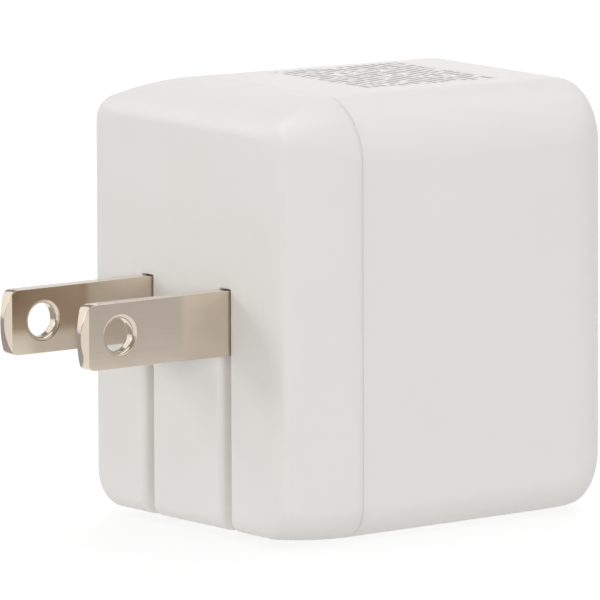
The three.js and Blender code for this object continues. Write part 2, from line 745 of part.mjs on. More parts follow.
// ---- assembly -----------------------------------------------------------------------
addPiece('front_housing', geometryOf(frontHousing()), WHITE_SHELL);
addPiece('rear_cover', geometryOf(rearCover()), WHITE_SHELL);

addPiece('blade_carrier', geometryOf(bladeCarrier()), DARK_PLASTIC);
['left', 'right'].forEach((side, i) => {
  addPiece(`blade_${side}`, geometryOf(blade(BLADE_X[i])), NICKEL);
  addPiece(`contact_spring_${side}`, contactSpring(BLADE_X[i]), SPRING_BRONZE);
  addPiece(`retainer_screw_${side}`, geometryOf(retainerScrew(Math.sign(BLADE_X[i]))), STEEL);
});
addPiece('pivot_retainer', geometryOf(pivotRetainer()), DARK_PLASTIC);
addPiece('detent_spring', detentSpring(), STEEL);
addPiece('lead_left', leadWire(LEADS.left), WIRE_GREY);
addPiece('lead_right', leadWire(LEADS.right), WIRE_RED);

addPiece('main_board', mainBoard(), BOARD_GREEN);
addPiece('port_board', portBoard(), BOARD_GREEN);
addPiece('fuse', fuse(), PALE_PLASTIC);
addPiece('line_choke_core', chokeCore(), FERRITE);
addPiece('line_choke_winding', chokeWinding(), COPPER);
addPiece('film_capacitor', filmCapacitor(), FILM_YELLOW);
addPiece('bridge_rectifier', geometryOf(chipPackage([-35.8, -30.6], [12.4, 16.2])), DARK_PLASTIC);
addPiece('primary_controller', geometryOf(chipPackage([-36.0, -30.4], [-16.2, -12.3])), DARK_PLASTIC);
addPiece('sync_rectifier', geometryOf(chipPackage([-35.8, -30.2], [-2.0, 1.8])), DARK_PLASTIC);
for (const [place, y] of Object.entries(BULK.y)) {
  const can = canCapacitor('x', [y, BULK.z], BULK.radius, ON_BOARD, BULK.top);
  addPiece(`bulk_capacitor_${place}`, can, DARK_PLASTIC);
}
addPiece('transformer_core', geometryOf(transformerCore()), FERRITE);
addPiece('transformer_winding', geometryOf(transformerWinding()), TAPE_YELLOW);
addPiece('transformer_base', geometryOf(transformerBase()), DARK_PLASTIC);
addPiece('safety_capacitor', safetyCapacitor(), CERAMIC_BLUE);
for (const [place, z] of Object.entries(OUTPUT.z)) {
  const can = canCapacitor('y', [OUTPUT.x, z], OUTPUT.radius, PORT_BOARD.front + CLEAR, OUTPUT.end);
  addPiece(`output_capacitor_${place}`, can, ALUMINIUM);
}
addPiece('port_controller', box([8.2, 11.2], [-29.4, -28.5], [-1.5, 1.5]), DARK_PLASTIC);
addPiece('heat_spreader', heatSpreader(), ALUMINIUM);
addPiece('insulation_sheet', insulationSheet(), CLEAR_SHEET);

addPiece('usb_c_shell', geometryOf(portShell(USB_C)), STEEL);
addPiece('usb_c_tongue', geometryOf(portTongue(USB_C, 0.95)), DARK_PLASTIC);
addPiece('usb_a_shell', geometryOf(portShell(USB_A)), STEEL);
addPiece('usb_a_tongue', geometryOf(portTongue(USB_A, 0.2)), PALE_PLASTIC);

export default group;
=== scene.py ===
import json
import math

import bmesh
import bpy
from mathutils import Matrix, Vector


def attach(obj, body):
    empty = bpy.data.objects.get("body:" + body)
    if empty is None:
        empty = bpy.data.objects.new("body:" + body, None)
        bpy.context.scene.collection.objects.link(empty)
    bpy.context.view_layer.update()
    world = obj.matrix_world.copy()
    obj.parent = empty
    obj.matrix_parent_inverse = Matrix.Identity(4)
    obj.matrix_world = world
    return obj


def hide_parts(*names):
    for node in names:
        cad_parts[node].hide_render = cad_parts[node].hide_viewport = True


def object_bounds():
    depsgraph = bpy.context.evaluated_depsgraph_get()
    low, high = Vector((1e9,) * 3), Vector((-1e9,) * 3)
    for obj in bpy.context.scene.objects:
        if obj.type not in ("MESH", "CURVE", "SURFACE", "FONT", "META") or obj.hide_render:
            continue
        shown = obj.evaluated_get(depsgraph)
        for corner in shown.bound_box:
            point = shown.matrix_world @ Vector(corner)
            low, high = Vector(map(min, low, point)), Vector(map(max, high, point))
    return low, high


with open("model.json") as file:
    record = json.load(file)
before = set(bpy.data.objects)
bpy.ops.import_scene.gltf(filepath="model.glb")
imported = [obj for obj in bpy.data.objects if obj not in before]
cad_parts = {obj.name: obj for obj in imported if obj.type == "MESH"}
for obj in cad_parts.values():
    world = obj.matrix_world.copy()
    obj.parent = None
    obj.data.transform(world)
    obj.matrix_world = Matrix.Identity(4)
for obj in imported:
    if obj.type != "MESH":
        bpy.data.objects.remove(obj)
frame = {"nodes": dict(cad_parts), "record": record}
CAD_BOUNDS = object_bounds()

MM = 0.001
SHARP_DEGREES = 32.0

# ---- sizes shared with the CAD, in millimetres -------------------------------------------
BODY = {"width": 31.6, "top": 21.65, "bottom": 21.25, "depth": 40.8}
SEAM_DEPTH = 9.6
SEAM_GAP = 0.01
SEAM_RIM = 0.035
WALL = 1.9
CORNER = {"top": 6.0, "bottom": 3.5}
PLUG_CORNER = {"top": 1.9, "bottom": 3.0}
PORT_CORNER = 5.0
PORT_CORNER_REACH = 8.0
DOME = {"side": 0.46, "top": 1.95, "bottom": 0.85, "power": 1.8}
DRAFT = {"side": 0.0087, "top": 0.014, "bottom": 0.0087}
PLUG_EDGE = {"side": 2.4, "side_depth": 0.6, "flat": 1.35}
PORT_EDGE = {"side": 3.5, "side_depth": 5.0, "flat": 2.3, "flat_depth": 3.0}

BLADE = {"pitch": 12.7, "width": 6.35, "thick": 1.5, "length": 17.35}
BLADE_HOLE = {"rim": 2.06, "bore": 1.64, "y": 13.0}
BLADE_TIP = {"sagitta": 0.75, "corner": 0.7, "rise": 0.25, "bevel_length": 0.65, "bevel_depth": 0.42}
BLADE_X = {"blade_left": -BLADE["pitch"] / 2, "blade_right": BLADE["pitch"] / 2}
PIVOT = {"y": -2.95, "z": 0.35, "eye": 1.4, "barrel": 1.6, "end": 11.0}
TAIL_RADIUS = 3.55
GROOVE = {
    "width": 1.74, "depth": 6.75, "top": 3.3, "inner_top": 4.2, "front_wall": 0.8,
    "lip": 0.7, "small_lip": 0.2,
}
POCKET = {"wall": 1.1, "back": 7.9, "top": 5.3, "floor": 1.6}
CLEAR = 0.3

USB_C = {"z": 6.6, "width": 8.94, "height": 3.16, "corner": 1.57}
USB_A = {"z": -6.2, "width": 13.1, "height": 5.7, "corner": 0.6}
SHELL_FRONT = -40.35
SHELL_BACK = -28.5
SHEET = 0.3


# ---- mesh helpers -------------------------------------------------------------------------
def new_object(name, bm):
    mesh = bpy.data.meshes.new(name)
    bm.to_mesh(mesh)
    bm.free()
    obj = bpy.data.objects.new(name, mesh)
    bpy.context.scene.collection.objects.link(obj)
    return obj


def apply_modifiers(obj):
    bpy.context.view_layer.update()
    graph = bpy.context.evaluated_depsgraph_get()
    mesh = bpy.data.meshes.new_from_object(obj.evaluated_get(graph))
    obj.modifiers.clear()
    old, obj.data = obj.data, mesh
    bpy.data.meshes.remove(old)


def cut(target, tool):
    """Takes tool away from target, and deletes tool."""
    modifier = target.modifiers.new("boolean", "BOOLEAN")
    modifier.object = tool
    modifier.operation = "DIFFERENCE"
    modifier.solver = "EXACT"
    apply_modifiers(target)
    bpy.data.objects.remove(tool)


def finish_piece(obj, body, nodes, material):
    """Scales a piece built in millimetres to metres, smooths it, gives it its material, parents it to its
    body's empty and hides the CAD parts it replaces.
    """
    obj.data.transform(Matrix.Scale(MM, 4))
    obj.data.shade_smooth()
    obj.data.set_sharp_from_angle(angle=math.radians(SHARP_DEGREES))
    modifier = obj.modifiers.new("weighted_normal", "WEIGHTED_NORMAL")
    modifier.keep_sharp = True
    modifier.weight = 60
    obj.data.materials.clear()
    obj.data.materials.append(material)
    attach(obj, body)
    if nodes:
        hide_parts(*nodes)
    return obj


def loft(name, rings):
    """A closed body through rings of (x, y, z) points that all have the same count."""
    bm = bmesh.new()
    rows = [[bm.verts.new(point) for point in ring] for ring in rings]
    count = len(rows[0])
    for near, far in zip(rows, rows[1:]):
        for j in range(count):
            k = (j + 1) % count
            bm.faces.new((near[j], near[k], far[k], far[j]))
    bm.faces.new(rows[0])
    bm.faces.new(rows[-1])
    bmesh.ops.recalc_face_normals(bm, faces=bm.faces)
    return new_object(name, bm)


def box(name, x, y, z):
    corners = ((x[0], z[0]), (x[1], z[0]), (x[1], z[1]), (x[0], z[1]))
    return loft(name, [[(px, station, pz) for px, pz in corners] for station in y])


def rounded_rect(half_width, half_height, radius, steps):
    points = []
    for k, (sx, sz) in enumerate(((1, 1), (-1, 1), (-1, -1), (1, -1))):
        for i in range(steps + 1):
            angle = (k + i / steps) * math.pi / 2
            points.append((
                sx * (half_width - radius) + radius * math.cos(angle),
                sz * (half_height - radius) + radius * math.sin(angle),
            ))
    return points


def bar_y(name, centre_z, profile, stations):
    """A prism along Y; profile(grow) gives the outline, stations are (y, grow)."""
    rings = [[(x, y, z + centre_z) for x, z in profile(grow)] for y, grow in stations]
    return loft(name, rings)


def rod_x(name, centre, radius, start, end, sides=48):
    rings = []
    for x in (start, end):
        rings.append([
            (x, centre[0] + radius * math.cos(2 * math.pi * i / sides),
             centre[1] + radius * math.sin(2 * math.pi * i / sides))
            for i in range(sides)
        ])
    return loft(name, rings)


def bevel_edges(obj, wanted, offset, segments):
    """Rounds the edges for which wanted(edge) is true, in place."""
    bm = bmesh.new()
    bm.from_mesh(obj.data)
    bm.normal_update()
    edges = [edge for edge in bm.edges if edge.is_manifold and wanted(edge)]
    bmesh.ops.bevel(
        bm, geom=edges, offset=offset, offset_type="OFFSET", segments=segments,
        profile=0.5, affect="EDGES", clamp_overlap=True,
    )
    bm.to_mesh(obj.data)
    bm.free()


# ---- the case -------------------------------------------------------------------------------
def edge_inset(distance, inset, reach):
    """How far an elliptical edge of the given inset and reach is inside the box, at a distance in."""
    u = min(max(1 - distance / reach, 0.0), 1.0)
    return inset * (1 - math.sqrt(1 - u * u))


def case_section(depth, inset):
    """Half width, top, bottom and corner radii of the case at a depth behind the plug face."""
    forward = max(0.0, 1 - depth / SEAM_DEPTH)
    behind = max(0.0, depth - SEAM_DEPTH)
    to_port = BODY["depth"] - depth
    dome = forward ** DOME["power"]
    flat_edges = edge_inset(depth, PLUG_EDGE["flat"], PLUG_EDGE["flat"])
    flat_edges += edge_inset(to_port, PORT_EDGE["flat"], PORT_EDGE["flat_depth"])
    side_edges = edge_inset(depth, PLUG_EDGE["side"], PLUG_EDGE["side_depth"])
    side_edges += edge_inset(to_port, PORT_EDGE["side"], PORT_EDGE["side_depth"])
    near_port = min(max(1 - to_port / PORT_CORNER_REACH, 0.0), 1.0) ** 2

    def corner(middle, plug):
        return max(0.4, middle + (plug - middle) * forward + (PORT_CORNER - middle) * near_port - inset)

    return {
        "half": BODY["width"] / 2 - DOME["side"] * dome - side_edges - DRAFT["side"] * behind - inset,
        "top": BODY["top"] - DOME["top"] * dome - flat_edges - DRAFT["top"] * behind - inset,
        "bottom": BODY["bottom"] - DOME["bottom"] * dome - flat_edges - DRAFT["bottom"] * behind - inset,
        "top_corner": corner(CORNER["top"], PLUG_CORNER["top"]),
        "bottom_corner": corner(CORNER["bottom"], PLUG_CORNER["bottom"]),
    }


def section_ring(depth, inset, steps=14):
    s = case_section(depth, inset)
    half, top, bottom = s["half"], s["top"], s["bottom"]
    rt, rb = s["top_corner"], s["bottom_corner"]
    corners = (
        (half - rb, rb - bottom, rb, -0.5),
        (half - rt, top - rt, rt, 0.0),
        (rt - half, top - rt, rt, 0.5),
        (rb - half, rb - bottom, rb, 1.0),
    )
    ring = []
    for x, z, radius, start in corners:
        for i in range(steps + 1):
            angle = (start + 0.5 * i / steps) * math.pi
            ring.append((x + radius * math.cos(angle), -depth, z + radius * math.sin(angle)))
    return ring


def case_loft(name, stations, steps=14):
    return loft(name, [section_ring(depth, inset, steps) for depth, inset in stations])


def arc_stations(reach, count):
    """Depths from 0 to reach, closest together at 0, where a round edge bends most."""
    return [reach * (1 - math.cos(0.5 * math.pi * i / count)) for i in range(count + 1)]


def spread(start, end, count):
    return [start + (end - start) * i / count for i in range(count + 1)]


def thinned(values, gap):
    """The sorted values, without those that come within gap of the one before."""
    kept = []
    for value in sorted(values):
        if not kept or value - kept[-1] > gap:
            kept.append(value)
    return kept


def rounded_rim(depth, direction, radius):
    """(depth, inset) stations of a small round edge that ends at depth."""
    steps = 3
    stations = []
    for i in range(1, steps + 1):
        angle = 0.5 * math.pi * i / steps
        along = direction * radius * (1 - math.sin(angle))
        stations.append((depth - along, radius * (1 - math.cos(angle))))
    return stations


def slot(x):
    """The cutter for a blade's groove; below the blade its +X lip is softly rounded."""
    half, soft, small = GROOVE["width"] / 2, GROOVE["lip"], GROOVE["small_lip"]
    rings = []
    for z, right in ((-24.0, soft), (-3.4, soft), (-1.6, small), (GROOVE["top"], small)):
        section = []
        for sign, lip in ((-1, small), (1, right)):
            edge = [(sign * half, -GROOVE["depth"])]
            for i in range(9):
                angle = 0.5 * math.pi * i / 8
                edge.append((sign * (half + lip * (1 - math.cos(angle))), lip * (math.sin(angle) - 1)))
            edge.append((sign * (half + lip), 1.0))
            section += edge[::-sign]
        rings.append([(x + px, py, z) for px, py in section])
    return loft("slot", rings)


def front_shell():
    """The plug-side shell, with the blade grooves, their inner pockets and the pivot's seat."""
    end = SEAM_DEPTH - SEAM_GAP / 2
    depths = arc_stations(PLUG_EDGE["flat"], 10) + arc_stations(PLUG_EDGE["side_depth"], 7)
    depths = thinned(depths, 0.004) + spread(PLUG_EDGE["flat"], end - SEAM_RIM, 12)[1:]
    shell = case_loft("front_shell", [(depth, 0.0) for depth in depths] + rounded_rim(end, 1, SEAM_RIM))
    inside = case_loft("inside", [(WALL, WALL), (4.5, WALL), (7.0, WALL), (SEAM_DEPTH + 1, WALL)], 6)
    for x in BLADE_X.values():
        reach = GROOVE["width"] / 2 + POCKET["wall"]
        height = (POCKET["floor"] - BODY["bottom"], POCKET["top"])
        cut(inside, box("block", (x - reach, x + reach), (-POCKET["back"], -1.0), height))
    cut(shell, inside)
    for x in BLADE_X.values():
        cut(shell, slot(x))
    for x in BLADE_X.values():
        across = (x - GROOVE["width"] / 2, x + GROOVE["width"] / 2)
        high = box("high", across, (-GROOVE["depth"], -GROOVE["front_wall"]), (0.0, GROOVE["inner_top"]))
        cut(shell, high)
    seat = PIVOT["barrel"] + CLEAR
    reach = PIVOT["end"] + CLEAR
    cut(shell, rod_x("seat", (PIVOT["y"], PIVOT["z"]), seat, -reach, reach))
    behind = (-POCKET["back"] - 1, PIVOT["y"])
    height = (PIVOT["z"] - seat, PIVOT["z"] + seat)
    cut(shell, box("opening", (-reach, reach), behind, height))
    return shell


def rear_shell():
    """The long shell behind the seam, with the two outlet windows."""
    start = SEAM_DEPTH + SEAM_GAP / 2
    depths = spread(start + SEAM_RIM, 33.0, 10) + spread(33.0, 35.8, 3)[1:]
    depths += [BODY["depth"] - d for d in arc_stations(PORT_EDGE["side_depth"], 14)]
    depths += [BODY["depth"] - d for d in arc_stations(PORT_EDGE["flat_depth"], 14)]
    depths = thinned(depths, 0.012)
    depths[-1] = BODY["depth"]
    stations = rounded_rim(start, -1, SEAM_RIM)[::-1] + [(depth, 0.0) for depth in depths]
    shell = case_loft("rear_shell", stations)
    inside = case_loft("inside", [
        (start - 1, WALL), (20.0, WALL), (35.8, WALL), (37.4, WALL), (BODY["depth"] - WALL, WALL),
    ], 6)
    cut(shell, inside)
    for port, corner in ((USB_C, USB_C["corner"] + CLEAR), (USB_A, 0.9)):
        outline = rounded_rect(port["width"] / 2 + CLEAR, port["height"] / 2 + CLEAR, corner, 12)
        window = bar_y("window", port["z"], lambda grow, points=outline: points, [(-42.0, 0), (-36.0, 0)])
        cut(shell, window)

    def window_rim(edge):
        middle = (edge.verts[0].co + edge.verts[1].co) / 2
        return middle.y < -BODY["depth"] + 0.01 and abs(middle.x) < 8.0 and edge.calc_face_angle(0) > 0.6

    bevel_edges(shell, window_rim, 0.2, 4)
    return shell


# ---- the blades -----------------------------------------------------------------------------
def quadratic(a, b, c, steps):
    """Points of a quadratic curve from a to c with control point b, without a."""
    points = []
    for i in range(1, steps + 1):
        t = i / steps
        points.append(tuple((1 - t) ** 2 * p + 2 * t * (1 - t) * q + t * t * r for p, q, r in zip(a, b, c)))
    return points


def blade_outline():
    """A blade's side view in (y, z): curved tip, straight edges and a round tail about the pivot."""
    half = BLADE["width"] / 2
    shoulder = BLADE["length"] - BLADE_TIP["sagitta"]
    y, z = shoulder + BLADE_TIP["rise"], half - BLADE_TIP["corner"]
    crown = 2 * BLADE["length"] - y
    above = math.pi - math.asin((half - PIVOT["z"]) / TAIL_RADIUS)
    below = math.pi + math.asin((half + PIVOT["z"]) / TAIL_RADIUS)
    points = [(shoulder - BLADE_TIP["corner"], half)]
    for i in range(29):
        angle = above + (below - above) * i / 28
        tail_y = PIVOT["y"] + TAIL_RADIUS * math.cos(angle)
        points.append((tail_y, PIVOT["z"] + TAIL_RADIUS * math.sin(angle)))
    points.append((shoulder - BLADE_TIP["corner"], -half))
    points += quadratic(points[-1], (shoulder, -half), (y, -z), 6)
    points += quadratic((y, -z), (crown, 0.0), (y, z), 16)
    points += quadratic((y, z), (shoulder, half), points[0], 6)[:-1]
    return points


def blade(name, x):
    half = BLADE["thick"] / 2
    outline = blade_outline()
    obj = loft(name, [[(x + side * half, y, z) for y, z in outline] for side in (-1, 1)])
    start = BLADE["length"] - BLADE_TIP["bevel_length"]
    slope = BLADE_TIP["bevel_depth"] / BLADE_TIP["bevel_length"]
    for side in (-1, 1):
        far = start + 3.0
        wedge = loft("wedge", [
            [(x + side * half, start, z), (x + side * (half + 1), start, z),
             (x + side * (half + 1), far, z), (x + side * (half - slope * 3.0), far, z)]
            for z in (-5.0, 5.0)
        ])
        cut(obj, wedge)
    bevel_edges(obj, lambda edge: edge.calc_face_angle(0) > 0.5, 0.13, 3)
    bore, soft = BLADE_HOLE["bore"], BLADE_HOLE["rim"] - BLADE_HOLE["bore"]
    profile = [(-half - 0.3, bore + soft), (-half, bore + soft)]
    for i in range(1, 7):
        angle = i / 6 * math.pi / 2
        profile.append((soft * (1 - math.cos(angle)) - half, bore + soft * (1 - math.sin(angle))))
    profile += [(-station, radius) for station, radius in profile[::-1]]
    sides = 64
    cut(obj, loft("hole", [
        [(x + station, BLADE_HOLE["y"] + radius * math.cos(2 * math.pi * i / sides),
          radius * math.sin(2 * math.pi * i / sides)) for i in range(sides)]
        for station, radius in profile
    ]))
    cut(obj, rod_x("eye", (PIVOT["y"], PIVOT["z"]), PIVOT["eye"], x - 2, x + 2))
    return obj


# ---- the sockets ----------------------------------------------------------------------------
def socket_shell(name, port, steps, lip):
    """An outlet's steel tube, with a rounded mouth."""
    half_width, half_height = port["width"] / 2, port["height"] / 2

    def profile(grow):
        return rounded_rect(half_width + grow, half_height + grow, port["corner"] + grow, steps)

    outer = [
        (SHELL_FRONT, -lip),
        (SHELL_FRONT + lip * 0.3, -lip * 0.3),
        (SHELL_FRONT + lip, 0.0),
        (SHELL_BACK, 0.0),
    ]
    obj = bar_y(name, port["z"], profile, outer)
    inner = [
        (SHELL_FRONT - 0.5, -SHEET + lip + 0.5),
        (SHELL_FRONT, -SHEET + lip),
        (SHELL_FRONT + lip * 0.4, -SHEET + lip * 0.3),
        (SHELL_FRONT + lip, -SHEET),
        (SHELL_BACK + 1, -SHEET),
    ]
    cut(obj, bar_y("inner", port["z"], profile, inner))
    return obj


def merged(name, parts):
    """One object from several separate ones."""
    bm = bmesh.new()
    for part in parts:
        bm.from_mesh(part.data)
        bpy.data.objects.remove(part)
    return new_object(name, bm)


def chamfered_bar(name, x, y, z, chamfer):
    """A bar along Y whose front (-Y) end is chamfered all round."""
    cx, cz = (x[0] + x[1]) / 2, (z[0] + z[1]) / 2
    hx, hz = (x[1] - x[0]) / 2, (z[1] - z[0]) / 2
    corner = min(hx, hz) * 0.3
    rings = []
    for station, grow in ((y[0], -chamfer), (y[0] + chamfer * 1.6, 0.0), (y[1], 0.0)):
        outline = rounded_rect(hx + grow, hz + grow, corner, 4)
        rings.append([(cx + px, station, cz + pz) for px, pz in outline])
    return loft(name, rings)


def usb_c_pieces():
    """The tongue on its block, and twelve contact pads on each of its faces."""
    z = USB_C["z"]
    block = bar_y(
        "block", z, lambda grow: rounded_rect(3.87 + grow, 0.98 + grow, 0.95 + grow, 8),
        [(-33.4, -0.1), (-33.3, 0.0), (SHELL_BACK, 0.0)],
    )
    tongue = chamfered_bar("tongue", (-3.35, 3.35), (-39.4, -33.0), (z - 0.35, z + 0.35), 0.12)
    pads = []
    for side in (-1, 1):
        for i in range(12):
            x = (i - 5.5) * 0.5
            low, high = sorted((z + side * 0.33, z + side * 0.375))
            start = -39.1 if i in (0, 3, 8, 11) else -38.8
            pads.append(chamfered_bar("pad", (x - 0.13, x + 0.13), (start, -34.5), (low, high), 0.01))
    return merged("usb_c_tongue_fine", [block, tongue]), merged("usb_c_contacts", pads)


def usb_a_pieces():
    """The tongue on its block, and the four sprung contacts under it."""
    z = USB_A["z"]
    block = box("block", (-5.95, 5.95), (-31.4, SHELL_BACK), (z - 2.25, z + 2.25))
    tongue = chamfered_bar("tongue", (-5.55, 5.55), (-39.3, -31.0), (z + 0.2, z + 2.05), 0.25)
    contacts = []
    for x, width in ((-3.5, 1.0), (-1.0, 0.9), (1.0, 0.9), (3.5, 1.0)):
        front = -38.4 if abs(x) > 2 else -37.4
        contacts.append(contact_leaf(x, width, front, z + 0.2))
    return merged("usb_a_tongue_fine", [block, tongue]), merged("usb_a_contacts", contacts)


def contact_leaf(x, width, front, z):
    """A thin sprung contact that bows down out of the tongue's lower face."""
    left, right, thick = x - width / 2, x + width / 2, 0.16
    rings = []
    for behind, drop in ((0.0, -0.02), (0.5, -0.2), (1.6, -0.42), (2.6, -0.3), (5.4, -0.04)):
        y, low = front + behind, z + drop
        rings.append([(left, y, low), (right, y, low), (right, y, low + thick), (left, y, low + thick)])
    return loft("leaf", rings)


# ---- materials ------------------------------------------------------------------------------
RANGE_KEYS = ("From Min", "From Max", "To Min", "To Max")
# The block of dashes on top, in metres: its centre, half size, row pitch, smallest dash and height.
PRINT = {
    "x": 0.0007, "y": -0.0247, "half_width": 0.0079, "half_length": 0.0081,
    "pitch": 0.00098, "cell": 0.00036, "above": 0.0205,
}


class Nodes:
    """Small helper for writing a material's node tree."""

    def __init__(self, name):
        self.material = bpy.data.materials.new(name)
        self.material.use_nodes = True
        self.tree = self.material.node_tree
        self.shader = self.tree.nodes["Principled BSDF"]
        self.coords = self.tree.nodes.new("ShaderNodeTexCoord").outputs["Object"]

    def link(self, source, target):
        self.tree.links.new(source, target)

    def set(self, socket, value):
        if isinstance(value, bpy.types.NodeSocket):
            self.link(value, socket)
        else:
            socket.default_value = value

    def math(self, operation, a, b=0.0):
        node = self.tree.nodes.new("ShaderNodeMath")
        node.operation = operation
        for socket, value in zip(node.inputs, (a, b)):
            self.set(socket, value)
        return node.outputs[0]

    def scaled(self, scale):
        node = self.tree.nodes.new("ShaderNodeMapping")
        self.link(self.coords, node.inputs["Vector"])
        node.inputs["Scale"].default_value = scale
        return node.outputs[0]

    def noise(self, scale, detail=2.0, roughness=0.5, vector=None):
        node = self.tree.nodes.new("ShaderNodeTexNoise")
        self.link(vector if vector is not None else self.coords, node.inputs["Vector"])
        node.inputs["Scale"].default_value = scale
        node.inputs["Detail"].default_value = detail
        node.inputs["Roughness"].default_value = roughness
        return node.outputs[0]

    def range(self, value, low, high, out_low, out_high):
        node = self.tree.nodes.new("ShaderNodeMapRange")
        self.set(node.inputs["Value"], value)
        for key, number in zip(RANGE_KEYS, (low, high, out_low, out_high)):
            node.inputs[key].default_value = number
        return node.outputs[0]

    def mix(self, factor, a, b):
        node = self.tree.nodes.new("ShaderNodeMix")
        node.data_type = "RGBA"
        self.set(node.inputs[0], factor)
        for socket, value in ((node.inputs[6], a), (node.inputs[7], b)):
            self.set(socket, (*value, 1.0) if isinstance(value, tuple) else value)
        return node.outputs[2]

    def bump(self, height, strength, distance):
        node = self.tree.nodes.new("ShaderNodeBump")
        node.inputs["Strength"].default_value = strength
        node.inputs["Distance"].default_value = distance
        self.link(height, node.inputs["Height"])
        return node.outputs[0]

    def put(self, **values):
        for key, value in values.items():
            socket = self.shader.inputs[key.replace("_", " ")]
            if isinstance(value, tuple) and socket.type == "RGBA":
                value = (*value, 1.0)
            self.set(socket, value)
        return self.material


def shell_plastic():
    """White moulded plastic with a fine spark texture, and a block of plain grey dashes on top."""
    n = Nodes("shell_white")
    tone = n.range(n.noise(90.0, 3.0), 0.3, 0.7, 0.0, 1.0)
    white = n.mix(tone, (0.942, 0.915, 0.883), (0.960, 0.933, 0.903))
    split = n.tree.nodes.new("ShaderNodeSeparateXYZ")
    n.link(n.coords, split.inputs[0])
    x, y, z = split.outputs
    rows = n.math("DIVIDE", y, PRINT["pitch"])
    row = n.math("FLOOR", rows)
    in_row = n.math("LESS_THAN", n.math("FRACT", rows), 0.62)
    column = n.math("FLOOR", n.math("DIVIDE", x, PRINT["cell"]))
    joined = n.tree.nodes.new("ShaderNodeCombineXYZ")
    n.link(column, joined.inputs[0])
    n.link(row, joined.inputs[1])
    speck = n.tree.nodes.new("ShaderNodeTexWhiteNoise")
    speck.noise_dimensions = "2D"
    n.link(joined.outputs[0], speck.inputs["Vector"])
    dash = n.math("GREATER_THAN", speck.outputs["Value"], 0.3)
    off_x = n.math("ABSOLUTE", n.math("SUBTRACT", x, PRINT["x"]))
    off_y = n.math("ABSOLUTE", n.math("SUBTRACT", y, PRINT["y"]))
    beside = n.math("LESS_THAN", off_x, PRINT["half_width"])
    along = n.math("LESS_THAN", off_y, PRINT["half_length"])
    inside = n.math("MULTIPLY", beside, along)
    inside = n.math("MULTIPLY", inside, n.math("GREATER_THAN", z, PRINT["above"]))
    ink = n.math("MULTIPLY", n.math("MULTIPLY", dash, in_row), n.math("MULTIPLY", inside, 0.75))
    colour = n.mix(ink, white, (0.33, 0.32, 0.32))
    grain = n.bump(n.noise(7000.0, 2.0, 0.6), 0.12, 0.000012)
    rough = n.range(n.noise(1400.0, 2.0), 0.3, 0.7, 0.40, 0.50)
    return n.put(
        Base_Color=colour, Roughness=rough, Normal=grain, Specular_IOR_Level=0.5,
        Subsurface_Weight=0.4, Subsurface_Scale=0.0007, Subsurface_Radius=(1.0, 1.0, 1.0),
    )


def nickel():
    """Bright nickel plate, faintly clouded, with very faint lengthwise draw lines."""
    n = Nodes("nickel")
    lines = n.noise(1.0, 3.0, 0.6, n.scaled((9000.0, 160.0, 9000.0)))
    cloud = n.noise(240.0, 3.0, 0.55)
    colour = n.mix(n.range(cloud, 0.35, 0.7, 0.0, 1.0), (0.755, 0.66, 0.555), (0.70, 0.605, 0.50))
    rough = n.math("ADD", n.range(lines, 0.3, 0.7, 0.07, 0.11), n.math("MULTIPLY", cloud, 0.07))
    return n.put(Base_Color=colour, Metallic=1.0, Roughness=rough, Normal=n.bump(lines, 0.08, 0.0000012))


def general(name, colour, second, roughness, metallic=0.0, grain=5000.0, strength=0.1, stretch=None):
    """A plain engineering finish: two close tones, a fine grain and a varied gloss."""
    n = Nodes(name)
    vector = n.scaled(stretch) if stretch else None
    tone = n.range(n.noise(500.0, 3.0), 0.3, 0.7, 0.0, 1.0)
    fine = n.noise(1.0 if stretch else grain, 2.0, 0.6, vector)
    rough = n.range(fine, 0.3, 0.7, roughness * 0.85, roughness * 1.15)
    return n.put(
        Base_Color=n.mix(tone, colour, second), Metallic=metallic, Roughness=rough,
        Normal=n.bump(fine, strength, 0.00001),
    )


SHELL_WHITE = shell_plastic()
NICKEL = nickel()
GOLD = general("contact_gold", (0.83, 0.61, 0.27), (0.90, 0.68, 0.33), 0.25, 1.0)
BY_SLOT = {
    "shell_white": SHELL_WHITE,
    "nickel": NICKEL,
    "contact_bronze": general("contact_bronze", (0.60, 0.38, 0.17), (0.68, 0.45, 0.22), 0.32, 1.0),
    "steel": general(
        "steel", (0.60, 0.60, 0.61), (0.70, 0.70, 0.71), 0.28, 1.0, stretch=(9000.0, 500.0, 9000.0),
    ),
    "dark_plastic": general("dark_plastic", (0.018, 0.018, 0.020), (0.028, 0.028, 0.031), 0.5),
    "pale_plastic": general("pale_plastic", (0.70, 0.68, 0.62), (0.76, 0.74, 0.68), 0.45),
    "board": general("board", (0.012, 0.085, 0.035), (0.018, 0.11, 0.05), 0.35),
    "ferrite": general(
        "ferrite", (0.035, 0.034, 0.036), (0.055, 0.053, 0.056), 0.7, grain=3500.0, strength=0.3,
    ),
    "copper": general("copper", (0.62, 0.25, 0.10), (0.72, 0.32, 0.14), 0.25, 1.0),
    "tape": general("tape", (0.72, 0.48, 0.03), (0.80, 0.56, 0.06), 0.3),
    "film": general("film", (0.66, 0.44, 0.05), (0.74, 0.50, 0.08), 0.35),
    "disc": general("disc", (0.03, 0.13, 0.38), (0.05, 0.17, 0.46), 0.35),
    "aluminium": general(
        "aluminium", (0.66, 0.67, 0.69), (0.74, 0.75, 0.77), 0.35, 1.0, stretch=(9000.0, 9000.0, 600.0),
    ),
    "clear_sheet": general("clear_sheet", (0.72, 0.70, 0.58), (0.78, 0.76, 0.64), 0.3),
    "wire_grey": general("wire_grey", (0.09, 0.10, 0.11), (0.12, 0.13, 0.14), 0.5),
    "wire_red": general("wire_red", (0.40, 0.03, 0.02), (0.48, 0.05, 0.03), 0.5),
}
for part in frame["record"]["subparts"]:
    data = frame["nodes"][part["node"]].data
    data.materials.clear()
    data.materials.append(BY_SLOT[part["material_slot"]])

